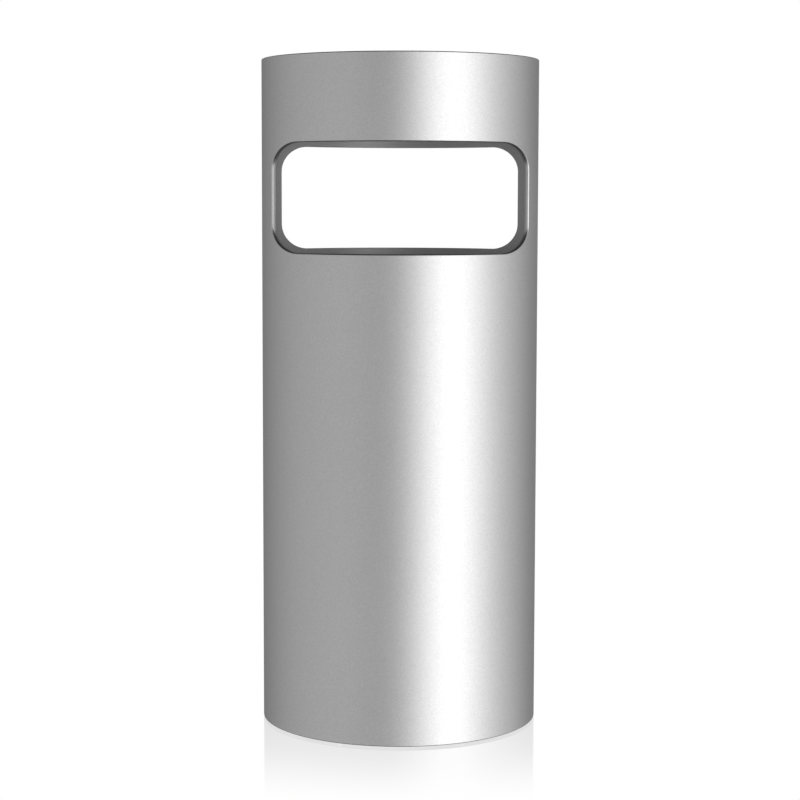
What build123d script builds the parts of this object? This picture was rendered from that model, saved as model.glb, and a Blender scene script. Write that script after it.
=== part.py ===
from build123d import *
import math
import os

# Umbrella stand: a straight-sided moulded tube with a wide hand window in front and another behind.
# A floor moulding drops in from above onto a ledge near the foot of the tube and is screwed on from
# below. It carries a lift-out drip tray, and the tray carries a perforated rubber mat for the tips.
#
# Millimetres. The origin is the centre of the footprint on the ground, +Z is up, and the front
# window faces -Y.

# ---- Tube ----
height = 610.0
outer_diameter = 254.0
wall = 4.0
ground_gap = 1.5  # lower edge of the tube above the ground
edge_rounding = 1.0  # rim and lower edge

# ---- Hand windows, one in front and one behind ----
window_top_drop = 77.0  # rim down to the top edge of the window
window_height = 97.2
window_angle = 130.2  # share of the circumference, in degrees
window_corner_radius = 24.0  # as seen from straight in front
window_edge_rounding = 1.3

# ---- Ledge moulded inside the tube ----
ledge_width = 26.0
ledge_thickness = 4.0
ledge_recess = 4.5  # underside of the ledge above the lower edge of the tube

# ---- Floor moulding ----
floor_clearance = 0.3
floor_thickness = 3.5
floor_depth = 12.0  # skirt and screw bosses, below the deck
floor_skirt_thickness = 3.0
floor_rib_count = 12
floor_rib_thickness = 2.4
floor_rib_depth = 10.0
floor_hub_radius = 20.0
seat_ring_width = 2.0
seat_ring_height = 3.0

# ---- Screws, driven up through the ledge into the floor ----
screw_count = 6
screw_diameter = 4.0
screw_length = 12.0
screw_head_diameter = 8.0
screw_head_height = 2.6
screw_head_rounding = 0.9
screw_point_diameter = 1.0
screw_hole_clearance = 0.3
boss_wall = 3.0
pilot_spare_depth = 1.5
recess_width = 1.1
recess_span = 4.6
recess_depth = 1.6

# ---- Push-in rubber feet ----
foot_count = 4
foot_first_angle = 45.0
foot_diameter = 20.0
foot_edge_rounding = 1.0
foot_stem_diameter = 8.0
foot_barb_diameter = 11.0
foot_barb_height = 4.0
foot_barb_tip_diameter = 5.0

# ---- Drip tray ----
tray_side_gap = 5.0  # rim of the tray to the wall of the tube
tray_height = 26.0
tray_wall = 2.2
tray_floor = 2.2
tray_lip_width = 3.5
tray_lip_thickness = 2.2
tray_draft = 1.5
tray_seat_clearance = 1.0
tray_rib_count = 12
tray_rib_thickness = 2.0
tray_rib_height = 3.0
tray_hub_radius = 12.0

# ---- Two lifting tabs on the tray ----
tab_width = 46.0
tab_thickness = 3.0
tab_rise = 30.0  # above the lip
tab_corner_radius = 10.0
tab_slot_width = 28.0
tab_slot_height = 13.0
tab_slot_margin = 7.0  # above the slot
tab_inset = 1.5  # face of the tab in from the wall of the tray

# ---- Rubber mat for the tips ----
mat_clearance = 1.0
mat_thickness = 3.0
mat_ring_count = 4
mat_hole_diameter = 8.0
mat_holes_per_ring = 6  # more in each ring than in the one inside it
mat_rib_width = 4.0
mat_rib_height = 1.4

# ---- Modelling aids ----
cut_margin = 1.0  # how far a cut runs on past the faces it opens
touching = 0.01  # distance at which a point counts as lying on a face

# ---- Sizes that follow from the values above ----
outer_radius = outer_diameter / 2
inner_radius = outer_radius - wall

window_top = height - window_top_drop
window_bottom = window_top - window_height
window_half_angle = math.radians(window_angle / 2)

ledge_bottom = ground_gap + ledge_recess
ledge_top = ledge_bottom + ledge_thickness
ledge_inner_radius = inner_radius - ledge_width
fixing_radius = inner_radius - ledge_width / 2  # screws and feet share one circle

deck_bottom = ledge_top + floor_depth
deck_top = deck_bottom + floor_thickness
floor_radius = inner_radius - floor_clearance

tray_lip_radius = inner_radius - tray_side_gap
tray_top_radius = tray_lip_radius - tray_lip_width
tray_base_radius = tray_top_radius - tray_draft
tray_bottom = deck_top
tray_top = tray_bottom + tray_height
tray_floor_top = tray_bottom + tray_floor

mat_radius = tray_base_radius - tray_wall - mat_clearance
mat_bottom = tray_floor_top + tray_rib_height
mat_pitch = mat_radius / (mat_ring_count + 1)


def ring(outer, inner, low, high):
    """A flat ring about the axis, between two heights."""
    blank = Pos(0, 0, (low + high) / 2) * Cylinder(outer, high - low)
    return blank - Pos(0, 0, (low + high) / 2) * Cylinder(inner, 2 * (high - low))


def disc(radius, low, high):
    """A solid disc about the axis, between two heights."""
    return Pos(0, 0, (low + high) / 2) * Cylinder(radius, high - low)


def radial_ribs(count, thickness, inner, outer, low, high):
    """Straight ribs that run out from the hub, evenly spaced."""
    length = outer - inner
    rib = Pos(inner + length / 2, 0, (low + high) / 2) * Box(length, thickness, high - low)
    return [Rot(0, 0, turn * 360 / count) * rib for turn in range(count)]


def screw_places():
    return PolarLocations(fixing_radius, screw_count)


def foot_places():
    return PolarLocations(fixing_radius, foot_count, start_angle=foot_first_angle)


def across(x, distance):
    """Where a point of the window outline, x off centre on the outer face, is met by its line from
    the tube's axis, on a flat plane that distance in front of the axis."""
    return distance * x / math.sqrt(outer_radius**2 - x**2)


def handle(share):
    """How long the handles of a curve are, as a share of its reach, for its middle to lie at that
    share of the reach."""
    return (8 * share - 4) / 3


def window_section(distance):
    """The window outline on a flat plane in front of the axis. Each rounded corner is one curve
    whose handles make it pass through the middle of the corner's arc."""
    side = outer_radius * math.sin(window_half_angle)
    straight = side - window_corner_radius
    arc_middle = math.sin(math.pi / 4)
    middle = straight + window_corner_radius * arc_middle
    x_side = across(side, distance)
    x_straight = across(straight, distance)
    x_share = (across(middle, distance) - x_straight) / (x_side - x_straight)
    x_handle = handle(x_share) * (x_side - x_straight)
    z_handle = handle(arc_middle) * window_corner_radius
    half = window_height / 2
    z_straight = half - window_corner_radius
    corner = Bezier(
        (x_side, z_straight),
        (x_side, z_straight + z_handle),
        (x_straight + x_handle, half),
        (x_straight, half),
    )
    quarter = Curve() + [
        Line((x_side, 0), (x_side, z_straight)),
        corner,
        Line((x_straight, half), (0, half)),
    ]
    upper = quarter + mirror(quarter, about=Plane.YZ)
    outline = upper + mirror(upper, about=Plane.XZ)
    window_middle = (window_top + window_bottom) / 2
    plane = Plane(origin=(0, -distance, window_middle), x_dir=(1, 0, 0), z_dir=(0, -1, 0))
    return plane * make_face(outline)


def window_cutter():
    """A wedge whose sides all point at the axis, so that the cut faces of the window are radial."""
    near = inner_radius * math.cos(window_half_angle) / 2
    far = outer_radius + wall
    return loft([window_section(near), window_section(far)], ruled=True)


def make_body_shell():
    outline = Polyline(
        (ledge_inner_radius, ledge_bottom),
        (inner_radius, ledge_bottom),
        (inner_radius, ground_gap),
        (outer_radius, ground_gap),
        (outer_radius, height),
        (inner_radius, height),
        (inner_radius, ledge_top),
        (ledge_inner_radius, ledge_top),
        close=True,
    )
    profile = make_face(outline)
    rim_and_foot = [v for v in profile.vertices() if v.Y > height - touching or v.Y < ground_gap + touching]
    profile = fillet(rim_and_foot, edge_rounding)
    shell = revolve(Plane.XZ * profile, axis=Axis.Z)
    front = window_cutter()
    shell -= front
    shell -= Rot(0, 0, 180) * front
    low = ledge_bottom - cut_margin
    high = ledge_top + cut_margin
    for place in screw_places():
        shell -= place * disc(screw_diameter / 2 + screw_hole_clearance, low, high)
    for place in foot_places():
        shell -= place * disc(foot_stem_diameter / 2, low, high)
    return fillet(window_edges(shell, outer_radius), window_edge_rounding)


def window_edges(shell, radius):
    """The edges where the windows cut one face of the tube."""
    edges = []
    for edge in shell.edges():
        box = edge.bounding_box()
        inside = box.min.Z > window_bottom - touching and box.max.Z < window_top + touching
        ends = [math.hypot(edge.position_at(t).X, edge.position_at(t).Y) for t in (0, 0.5, 1)]
        if inside and all(abs(end - radius) < touching for end in ends):
            edges.append(edge)
    return edges


def make_base_floor():
    floor = disc(floor_radius, deck_bottom, deck_top)
    floor += ring(floor_radius, floor_radius - floor_skirt_thickness, ledge_top, deck_bottom)
    rib_bottom = deck_bottom - floor_rib_depth
    hub_inside = floor_hub_radius - floor_rib_thickness
    floor += ring(floor_hub_radius, hub_inside, rib_bottom, deck_bottom)
    rib_outside = floor_radius - floor_skirt_thickness / 2
    rib_inside = floor_hub_radius - floor_rib_thickness / 2
    for rib in radial_ribs(
        floor_rib_count, floor_rib_thickness, rib_inside, rib_outside, rib_bottom, deck_bottom
    ):
        floor += rib
    for place in screw_places():
        floor += place * disc(screw_diameter / 2 + boss_wall, ledge_top, deck_bottom)
    pilot_depth = screw_length - ledge_thickness + pilot_spare_depth
    for place in screw_places():
        floor -= place * disc(screw_diameter / 2, ledge_top - cut_margin, ledge_top + pilot_depth)
    seat_inside = tray_base_radius + tray_seat_clearance
    floor += ring(seat_inside + seat_ring_width, seat_inside, deck_top, deck_top + seat_ring_height)
    return floor


def make_screw():
    """A pan-head thread-forming screw, head down, its shank pointing up into the floor."""
    head = disc(screw_head_diameter / 2, ledge_bottom - screw_head_height, ledge_bottom)
    head = fillet(head.edges().group_by(Axis.Z)[0], screw_head_rounding)
    radius = screw_diameter / 2
    end = ledge_bottom + screw_length
    shank = disc(radius, ledge_bottom, end - radius)
    tip = Pos(0, 0, end - radius / 2) * Cone(radius, screw_point_diameter / 2, radius)
    slot_middle = ledge_bottom - screw_head_height + recess_depth / 2
    slot = Pos(0, 0, slot_middle) * Box(recess_span, recess_width, recess_depth)
    return head + shank + tip - slot - Rot(0, 0, 90) * slot


def make_foot():
    """A rubber bumper: a disc under the ledge, a stem through it and a barb above it."""
    pad = disc(foot_diameter / 2, 0, ledge_bottom)
    pad = fillet(pad.edges().group_by(Axis.Z)[0], foot_edge_rounding)
    stem = disc(foot_stem_diameter / 2, ledge_bottom, ledge_top)
    barb = Cone(foot_barb_diameter / 2, foot_barb_tip_diameter / 2, foot_barb_height)
    return pad + stem + Pos(0, 0, ledge_top + foot_barb_height / 2) * barb


def make_tray_tab():
    """One lifting tab, at +X: an upright plate with a finger slot, rooted in the tray's wall."""
    top = tray_top + tab_rise
    root = tray_floor_top + tray_rib_height
    plate = Pos(0, (root + top) / 2) * Rectangle(tab_width, top - root)
    upper = [v for v in plate.vertices() if v.Y > top - touching]
    plate = fillet(upper, tab_corner_radius)
    slot_middle = top - tab_slot_margin - tab_slot_height / 2
    plate -= Pos(0, slot_middle) * SlotOverall(tab_slot_width, tab_slot_height)
    face = tray_top_radius - tray_wall - tab_inset
    upright = Plane(origin=(face, 0, 0), x_dir=(0, 1, 0), z_dir=(1, 0, 0))
    return extrude(upright * plate, amount=tab_thickness)


def make_drip_tray():
    outline = Polyline(
        (0, tray_bottom),
        (tray_base_radius, tray_bottom),
        (tray_top_radius, tray_top - tray_lip_thickness),
        (tray_lip_radius, tray_top - tray_lip_thickness),
        (tray_lip_radius, tray_top),
        (tray_top_radius - tray_wall, tray_top),
        (tray_base_radius - tray_wall, tray_floor_top),
        (0, tray_floor_top),
        close=True,
    )
    tray = revolve(Plane.XZ * make_face(outline), axis=Axis.Z)
    rib_top = tray_floor_top + tray_rib_height
    tray += ring(tray_hub_radius, tray_hub_radius - tray_rib_thickness, tray_floor_top, rib_top)
    rib_inside = tray_hub_radius - tray_rib_thickness / 2
    rib_outside = tray_base_radius - tray_wall / 2
    for rib in radial_ribs(
        tray_rib_count, tray_rib_thickness, rib_inside, rib_outside, tray_floor_top, rib_top
    ):
        tray += rib
    tab = make_tray_tab()
    tray += tab
    tray += Rot(0, 0, 180) * tab
    return tray


def make_tip_mat():
    mat_top = mat_bottom + mat_thickness
    mat = disc(mat_radius, mat_bottom, mat_top)
    for number in range(1, mat_ring_count + 1):
        inside = (number + 1 / 2) * mat_pitch - mat_rib_width / 2
        mat += ring(inside + mat_rib_width, inside, mat_top, mat_top + mat_rib_height)
    for number in range(1, mat_ring_count + 1):
        for place in PolarLocations(number * mat_pitch, mat_holes_per_ring * number):
            mat -= place * disc(mat_hole_diameter / 2, mat_bottom - cut_margin, mat_top + cut_margin)
    return mat


def write(name, shape):
    shape.label = name
    export_step(shape, os.path.join("parts", name + ".step"))


def main():
    os.makedirs("parts", exist_ok=True)
    write("body_shell", make_body_shell())
    write("base_floor", make_base_floor())
    screw = make_screw()
    write("base_screws", Compound(children=[place * screw for place in screw_places()]))
    foot = make_foot()
    for number, place in enumerate(foot_places(), start=1):
        write(f"foot_{number}", place * foot)
    write("drip_tray", make_drip_tray())
    write("tip_mat", make_tip_mat())


main()
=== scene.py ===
import bmesh
import bpy
import math
import numpy as np
from mathutils import Matrix, Vector


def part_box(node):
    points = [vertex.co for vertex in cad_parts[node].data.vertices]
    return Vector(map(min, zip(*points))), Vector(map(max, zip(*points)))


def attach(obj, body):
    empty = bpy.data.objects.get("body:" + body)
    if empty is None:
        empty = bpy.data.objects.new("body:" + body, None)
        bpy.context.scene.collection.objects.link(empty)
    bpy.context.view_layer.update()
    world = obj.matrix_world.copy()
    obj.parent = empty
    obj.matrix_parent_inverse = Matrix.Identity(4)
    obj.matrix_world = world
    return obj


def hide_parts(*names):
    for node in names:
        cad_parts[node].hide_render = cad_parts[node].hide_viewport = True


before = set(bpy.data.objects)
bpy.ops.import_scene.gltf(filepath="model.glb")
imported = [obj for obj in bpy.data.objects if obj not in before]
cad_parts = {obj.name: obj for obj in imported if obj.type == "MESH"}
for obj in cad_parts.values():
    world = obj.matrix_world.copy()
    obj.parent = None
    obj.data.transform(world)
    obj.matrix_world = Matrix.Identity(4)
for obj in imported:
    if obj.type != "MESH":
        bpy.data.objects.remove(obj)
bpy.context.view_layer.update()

MM = 0.001

# ---- Tube: the same sizes as the CAD frame, in metres ----
TUBE_RADIUS = 127.0 * MM
TUBE_WALL = 4.0 * MM
TUBE_EDGE = 1.0 * MM
INNER_RADIUS = TUBE_RADIUS - TUBE_WALL
TUBE_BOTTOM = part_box("body_shell")[0].z
TUBE_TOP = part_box("body_shell")[1].z

# ---- Hand windows ----
WINDOW_TOP = TUBE_TOP - 77.0 * MM
WINDOW_BOTTOM = WINDOW_TOP - 97.2 * MM
WINDOW_MIDDLE = (WINDOW_TOP + WINDOW_BOTTOM) / 2
WINDOW_HALF_ANGLE = math.radians(130.2 / 2)
WINDOW_CORNER = 24.0 * MM
WINDOW_OUTER_EDGE = 1.3 * MM
WINDOW_INNER_EDGE = 0.25 * MM

# ---- Ledge inside the tube, which the floor rests on ----
LEDGE_BOTTOM = TUBE_BOTTOM + 4.5 * MM
LEDGE_TOP = LEDGE_BOTTOM + 4.0 * MM
LEDGE_RADIUS = INNER_RADIUS - 26.0 * MM
LEDGE_EDGE = 0.6 * MM
FIXING_RADIUS = INNER_RADIUS - 13.0 * MM

# ---- Floor moulding ----
FLOOR_RADIUS = INNER_RADIUS - 0.3 * MM
FLOOR_SKIRT = 3.0 * MM
FLOOR_EDGE = 0.6 * MM
DECK_BOTTOM = LEDGE_TOP + 12.0 * MM
DECK_TOP = DECK_BOTTOM + 3.5 * MM
FLOOR_RIBS = 12
FLOOR_RIB_WIDTH = 2.4 * MM
FLOOR_RIB_DEPTH = 10.0 * MM
FLOOR_HUB = 20.0 * MM
BOSS_RADIUS = 5.0 * MM
SEAT_RING_HEIGHT = 3.0 * MM
SEAT_RING_WIDTH = 2.0 * MM

# ---- Screws and feet ----
SCREW_COUNT = 6
SCREW_RADIUS = 2.0 * MM
SCREW_LENGTH = 12.0 * MM
SCREW_HEAD_RADIUS = 4.0 * MM
SCREW_HEAD_HEIGHT = 2.6 * MM
THREAD_PITCH = 1.4 * MM
THREAD_DEPTH = 0.35 * MM
RECESS_SPAN = 4.6 * MM
RECESS_WIDTH = 1.1 * MM
RECESS_DEPTH = 1.6 * MM
FOOT_COUNT = 4
FOOT_FIRST_ANGLE = math.radians(45)
FOOT_RADIUS = 10.0 * MM
FOOT_STEM = 4.0 * MM
FOOT_BARB = 5.5 * MM
FOOT_BARB_TIP = 2.5 * MM
FOOT_BARB_HEIGHT = 4.0 * MM
FOOT_GROOVE_DEPTH = 0.7 * MM
# The two grooves in a foot's tread, in millimetres from its axis: where each starts, reaches its depth,
# leaves it again and ends.
FOOT_GROOVES = ((3.4, 3.8, 4.6, 5.0), (6.9, 7.2, 7.8, 8.1))

# ---- Drip tray ----
TRAY_LIP_RADIUS = INNER_RADIUS - 5.0 * MM
TRAY_TOP_RADIUS = TRAY_LIP_RADIUS - 3.5 * MM
TRAY_BASE_RADIUS = TRAY_TOP_RADIUS - 1.5 * MM
TRAY_WALL = 2.2 * MM
TRAY_BOTTOM = DECK_TOP
TRAY_TOP = TRAY_BOTTOM + 26.0 * MM
TRAY_FLOOR_TOP = TRAY_BOTTOM + TRAY_WALL
TRAY_RIBS = 12
TRAY_RIB_WIDTH = 2.0 * MM
TRAY_RIB_HEIGHT = 3.0 * MM
TRAY_HUB = 12.0 * MM
TAB_WIDTH = 46.0 * MM
TAB_THICKNESS = 3.0 * MM
TAB_TOP = TRAY_TOP + 30.0 * MM
TAB_CORNER = 10.0 * MM
TAB_FACE = TRAY_TOP_RADIUS - TRAY_WALL - 1.5 * MM
TAB_SLOT_WIDTH = 28.0 * MM
TAB_SLOT_HEIGHT = 13.0 * MM
TAB_SLOT_MARGIN = 7.0 * MM

# ---- Rubber mat ----
MAT_RADIUS = TRAY_BASE_RADIUS - TRAY_WALL - 1.0 * MM
MAT_BOTTOM = TRAY_FLOOR_TOP + TRAY_RIB_HEIGHT
MAT_THICKNESS = 3.0 * MM
MAT_RINGS = 4
MAT_PITCH = MAT_RADIUS / (MAT_RINGS + 1)
MAT_HOLE_RADIUS = 4.0 * MM
MAT_RIB_WIDTH = 4.0 * MM
MAT_RIB_HEIGHT = 1.4 * MM
MAT_EDGE_STEPS = 144
MAT_HOLE_STEPS = 20

# A piece sunk into its neighbour within one moulding goes this far in.
ROOT_DEPTH = 0.3 * MM
MERGE_DISTANCE = 0.002 * MM


# ======================================================================
# Node trees
# ======================================================================

class Tree:
    """A node tree being written: its nodes, its named sockets and its links."""

    def __init__(self, tree):
        self.tree = tree
        self.column = 0

    def node(self, kind, **settings):
        made = self.tree.nodes.new(kind)
        made.location = (self.column, 0)
        self.column += 180
        for name, value in settings.items():
            setattr(made, name, value)
        return made

    def put(self, socket, value):
        """Links a socket to an output, or sets it to a plain value."""
        if isinstance(value, bpy.types.NodeSocket):
            self.tree.links.new(value, socket)
        elif value is not None:
            socket.default_value = value

    def fed(self, kind, inputs, **settings):
        """A node with its sockets, given by name, linked or set."""
        made = self.node(kind, **settings)
        for name, value in inputs.items():
            self.put(made.inputs[name], value)
        return made

    def math(self, operation, first, second=None, third=None):
        made = self.node("ShaderNodeMath", operation=operation)
        for socket, value in zip(made.inputs, (first, second, third)):
            self.put(socket, value)
        return made.outputs[0]

    def times(self, first, second):
        return self.math("MULTIPLY", first, second)

    def weigh(self, first, share, second):
        """The first value by its share, plus the second by the rest."""
        return self.math("ADD", self.times(first, share), self.times(second, 1.0 - share))

    def vector(self, operation, first, second=None):
        made = self.node("ShaderNodeVectorMath", operation=operation)
        self.put(made.inputs[0], first)
        self.put(made.inputs[1], second)
        result = "Value" if operation in ("DOT_PRODUCT", "LENGTH") else "Vector"
        return made.outputs[result]

    def split(self, vector):
        made = self.node("ShaderNodeSeparateXYZ")
        self.put(made.inputs[0], vector)
        return made.outputs

    def join(self, x, y, z):
        made = self.node("ShaderNodeCombineXYZ")
        for socket, value in zip(made.inputs, (x, y, z)):
            self.put(socket, value)
        return made.outputs[0]

    def spread(self, value, low, high, to_low, to_high):
        """Maps a value smoothly from one range to another."""
        made = self.fed("ShaderNodeMapRange", {
            "Value": value, "From Min": low, "From Max": high, "To Min": to_low, "To Max": to_high,
        }, interpolation_type="SMOOTHSTEP")
        return made.outputs["Result"]

    def mixed(self, share, first, second):
        """Two shaders, the second by its share."""
        made = self.node("ShaderNodeMixShader")
        for socket, value in zip(made.inputs, (share, first, second)):
            self.put(socket, value)
        return made.outputs[0]

    def place(self):
        """Where a point of the piece is, in the piece's own frame."""
        return self.node("ShaderNodeTexCoord").outputs["Object"]


# ---- Geometry Nodes trees ----

def new_shape_tree(name, inputs):
    """An empty Geometry Nodes tree with named inputs. Gives its writer and its input and output nodes."""
    tree = bpy.data.node_groups.new(name, "GeometryNodeTree")
    tree.interface.new_socket("Geometry", in_out="INPUT", socket_type="NodeSocketGeometry")
    for label, kind, value in inputs:
        tree.interface.new_socket(label, in_out="INPUT", socket_type=kind).default_value = value
    tree.interface.new_socket("Material", in_out="INPUT", socket_type="NodeSocketMaterial")
    tree.interface.new_socket("Geometry", in_out="OUTPUT", socket_type="NodeSocketGeometry")
    writer = Tree(tree)
    return writer, writer.node("NodeGroupInput"), writer.node("NodeGroupOutput")


def end_shape_tree(writer, given, result, geometry):
    """Closes a tree: instances made real, then the finish."""
    real = writer.fed("GeometryNodeRealizeInstances", {"Geometry": geometry})
    finish = writer.fed("GeometryNodeSetMaterial", {
        "Geometry": real.outputs["Geometry"], "Material": given.outputs["Material"],
    })
    writer.put(result.inputs["Geometry"], finish.outputs["Geometry"])
    return writer.tree


def roll_tree():
    """Rolls an upright sheet round the Z axis. Along the sheet, X is arc length on the outer face; Y is the
    depth into the wall; Z is height."""
    writer, given, result = new_shape_tree("roll_into_tube", [
        ("Tube Radius", "NodeSocketFloat", TUBE_RADIUS),
        ("Merge Distance", "NodeSocketFloat", MERGE_DISTANCE),
    ])
    flat = writer.split(writer.node("GeometryNodeInputPosition").outputs[0])
    angle = writer.math("DIVIDE", flat[0], given.outputs["Tube Radius"])
    radius = writer.math("SUBTRACT", given.outputs["Tube Radius"], flat[1])
    x = writer.times(radius, writer.math("SINE", angle))
    y = writer.times(radius, writer.times(writer.math("COSINE", angle), -1.0))
    rolled = writer.fed("GeometryNodeSetPosition", {
        "Geometry": given.outputs["Geometry"], "Position": writer.join(x, y, flat[2]),
    })
    merged = writer.fed("GeometryNodeMergeByDistance", {
        "Geometry": rolled.outputs["Geometry"], "Distance": given.outputs["Merge Distance"],
    })
    return end_shape_tree(writer, given, result, merged.outputs["Geometry"])


def ring_tree():
    """Repeats the piece, made in its place at angle zero, round the Z axis."""
    writer, given, result = new_shape_tree("repeat_round_axis", [
        ("Count", "NodeSocketInt", SCREW_COUNT),
        ("First Angle", "NodeSocketFloat", 0.0),
    ])
    step = writer.math("DIVIDE", math.tau, given.outputs["Count"])
    number = writer.node("GeometryNodeInputIndex").outputs[0]
    turn = writer.math("MULTIPLY_ADD", number, step, given.outputs["First Angle"])
    points = writer.fed("GeometryNodePoints", {"Count": given.outputs["Count"]})
    copies = writer.fed("GeometryNodeInstanceOnPoints", {
        "Points": points.outputs[0],
        "Instance": given.outputs["Geometry"],
        "Rotation": writer.join(0.0, 0.0, turn),
    })
    return end_shape_tree(writer, given, result, copies.outputs["Instances"])


def together(writer, first, second):
    """Two shapes in one."""
    made = writer.node("GeometryNodeJoinGeometry")
    for shape in (first, second):
        writer.put(made.inputs["Geometry"], shape)
    return made.outputs["Geometry"]


def mat_tree():
    """A round mat with rings of holes, six more in each ring than in the one inside it."""
    writer, given, result = new_shape_tree("perforated_mat", [
        ("Mat Radius", "NodeSocketFloat", MAT_RADIUS),
        ("Thickness", "NodeSocketFloat", MAT_THICKNESS),
        ("Rings", "NodeSocketInt", MAT_RINGS),
        ("Ring Pitch", "NodeSocketFloat", MAT_PITCH),
        ("Hole Radius", "NodeSocketFloat", MAT_HOLE_RADIUS),
        ("Edge Steps", "NodeSocketInt", MAT_EDGE_STEPS),
        ("Hole Steps", "NodeSocketInt", MAT_HOLE_STEPS),
    ])
    rings = given.outputs["Rings"]
    # Ring k starts at hole 3k(k-1), so the number of a hole gives its ring, and then its place in the ring.
    number = writer.node("GeometryNodeInputIndex").outputs[0]
    root = writer.math("SQRT", writer.math("MULTIPLY_ADD", number, 4.0 / 3.0, 1.001))
    ring = writer.math("FLOOR", writer.times(writer.math("ADD", root, 1.0), 0.5))
    start = writer.times(writer.times(ring, 3.0), writer.math("SUBTRACT", ring, 1.0))
    step = writer.math("DIVIDE", math.tau / 6.0, ring)
    angle = writer.times(writer.math("SUBTRACT", number, start), step)
    radius = writer.times(ring, given.outputs["Ring Pitch"])
    x = writer.times(radius, writer.math("COSINE", angle))
    y = writer.times(radius, writer.math("SINE", angle))
    count = writer.times(writer.times(rings, 3.0), writer.math("ADD", rings, 1.0))
    points = writer.fed("GeometryNodePoints", {"Count": count, "Position": writer.join(x, y, 0.0)})
    hole = writer.fed("GeometryNodeCurvePrimitiveCircle", {
        "Resolution": given.outputs["Hole Steps"], "Radius": given.outputs["Hole Radius"],
    })
    holes = writer.fed("GeometryNodeInstanceOnPoints", {
        "Points": points.outputs[0], "Instance": hole.outputs[0],
    })
    real = writer.fed("GeometryNodeRealizeInstances", {"Geometry": holes.outputs["Instances"]})
    edge = writer.fed("GeometryNodeCurvePrimitiveCircle", {
        "Resolution": given.outputs["Edge Steps"], "Radius": given.outputs["Mat Radius"],
    })
    outline = together(writer, real.outputs["Geometry"], edge.outputs[0])
    fill = writer.fed("GeometryNodeFillCurve", {"Curve": outline})
    raised = writer.fed("GeometryNodeExtrudeMesh", {
        "Mesh": fill.outputs["Mesh"],
        "Offset": writer.join(0.0, 0.0, 1.0),
        "Offset Scale": given.outputs["Thickness"],
        "Individual": False,
    })
    under = writer.fed("GeometryNodeFlipFaces", {"Mesh": fill.outputs["Mesh"]})
    both = together(writer, raised.outputs["Mesh"], under.outputs["Mesh"])
    merged = writer.fed("GeometryNodeMergeByDistance", {"Geometry": both, "Distance": MERGE_DISTANCE})
    return end_shape_tree(writer, given, result, merged.outputs["Geometry"])


def settled(piece):
    """Turns a piece, as its modifiers shape it, into a plain mesh with no modifier."""
    seen = piece.evaluated_get(bpy.context.evaluated_depsgraph_get())
    mesh = bpy.data.meshes.new_from_object(seen)
    piece.modifiers.clear()
    piece.data = mesh
    return piece


def grow(piece, tree, **inputs):
    """Runs a Geometry Nodes tree on a piece, for good."""
    made = piece.modifiers.new(tree.name, "NODES")
    made.node_group = tree
    sockets = {item.name.replace(" ", "_").lower(): item.identifier for item in tree.interface.items_tree}
    for name, value in inputs.items():
        made[sockets[name]] = value
    bpy.context.view_layer.update()
    return settled(piece)


# ======================================================================
# Materials
# ======================================================================

def new_effect(name, inputs, outputs):
    """A shader node group with named inputs and outputs."""
    tree = bpy.data.node_groups.new(name, "ShaderNodeTree")
    for label, kind, value in inputs:
        tree.interface.new_socket(label, in_out="INPUT", socket_type=kind).default_value = value
    for label, kind in outputs:
        tree.interface.new_socket(label, in_out="OUTPUT", socket_type=kind)
    writer = Tree(tree)
    return writer, writer.node("NodeGroupInput"), writer.node("NodeGroupOutput")


def noise(writer, place, scale, detail=2.0, roughness=0.5):
    made = writer.fed("ShaderNodeTexNoise", {
        "Vector": place, "Scale": scale, "Detail": detail, "Roughness": roughness,
    })
    return made.outputs["Fac"]


def flake_effect():
    """Aluminium flake lying in lacquer: each cell is a flake with its own brightness, over a fine grit and an
    orange peel."""
    writer, given, result = new_effect(
        "metal_flake",
        [
            ("Flake Scale", "NodeSocketFloat", 2200.0),
            ("Peel Scale", "NodeSocketFloat", 260.0),
            ("Cloud Scale", "NodeSocketFloat", 14.0),
        ],
        [("Tone", "NodeSocketFloat"), ("Gloss", "NodeSocketFloat"), ("Height", "NodeSocketFloat")],
    )
    place = writer.place()
    scale = given.outputs["Flake Scale"]
    cells = writer.fed("ShaderNodeTexVoronoi", {"Vector": place, "Scale": scale}, feature="F1")
    sparkle = writer.split(cells.outputs["Color"])[0]
    grit = noise(writer, place, writer.times(scale, 0.45), 1.0)
    cloud = noise(writer, place, given.outputs["Cloud Scale"], 3.0, 0.6)
    peel = noise(writer, place, given.outputs["Peel Scale"], 1.0)
    writer.put(result.inputs["Tone"], writer.weigh(sparkle, 0.75, cloud))
    writer.put(result.inputs["Gloss"], writer.weigh(grit, 0.85, cloud))
    writer.put(result.inputs["Height"], writer.weigh(grit, 0.35, peel))
    return writer.tree


def wear_effect():
    """Where an edge is sharp enough to be rubbed: the true normal leaves the one of a rounded edge."""
    writer, given, result = new_effect(
        "edge_wear",
        [("Edge Radius", "NodeSocketFloat", 0.8 * MM), ("Patch Scale", "NodeSocketFloat", 90.0)],
        [("Mask", "NodeSocketFloat")],
    )
    softened = writer.fed("ShaderNodeBevel", {"Radius": given.outputs["Edge Radius"]}, samples=4)
    true_normal = writer.node("ShaderNodeNewGeometry").outputs["Normal"]
    edge = writer.spread(writer.vector("DOT_PRODUCT", softened.outputs[0], true_normal), 0.97, 0.80, 0.0, 1.0)
    patch = noise(writer, writer.place(), given.outputs["Patch Scale"], 4.0, 0.65)
    writer.put(result.inputs["Mask"], writer.times(edge, writer.spread(patch, 0.42, 0.62, 0.0, 1.0)))
    return writer.tree


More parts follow.
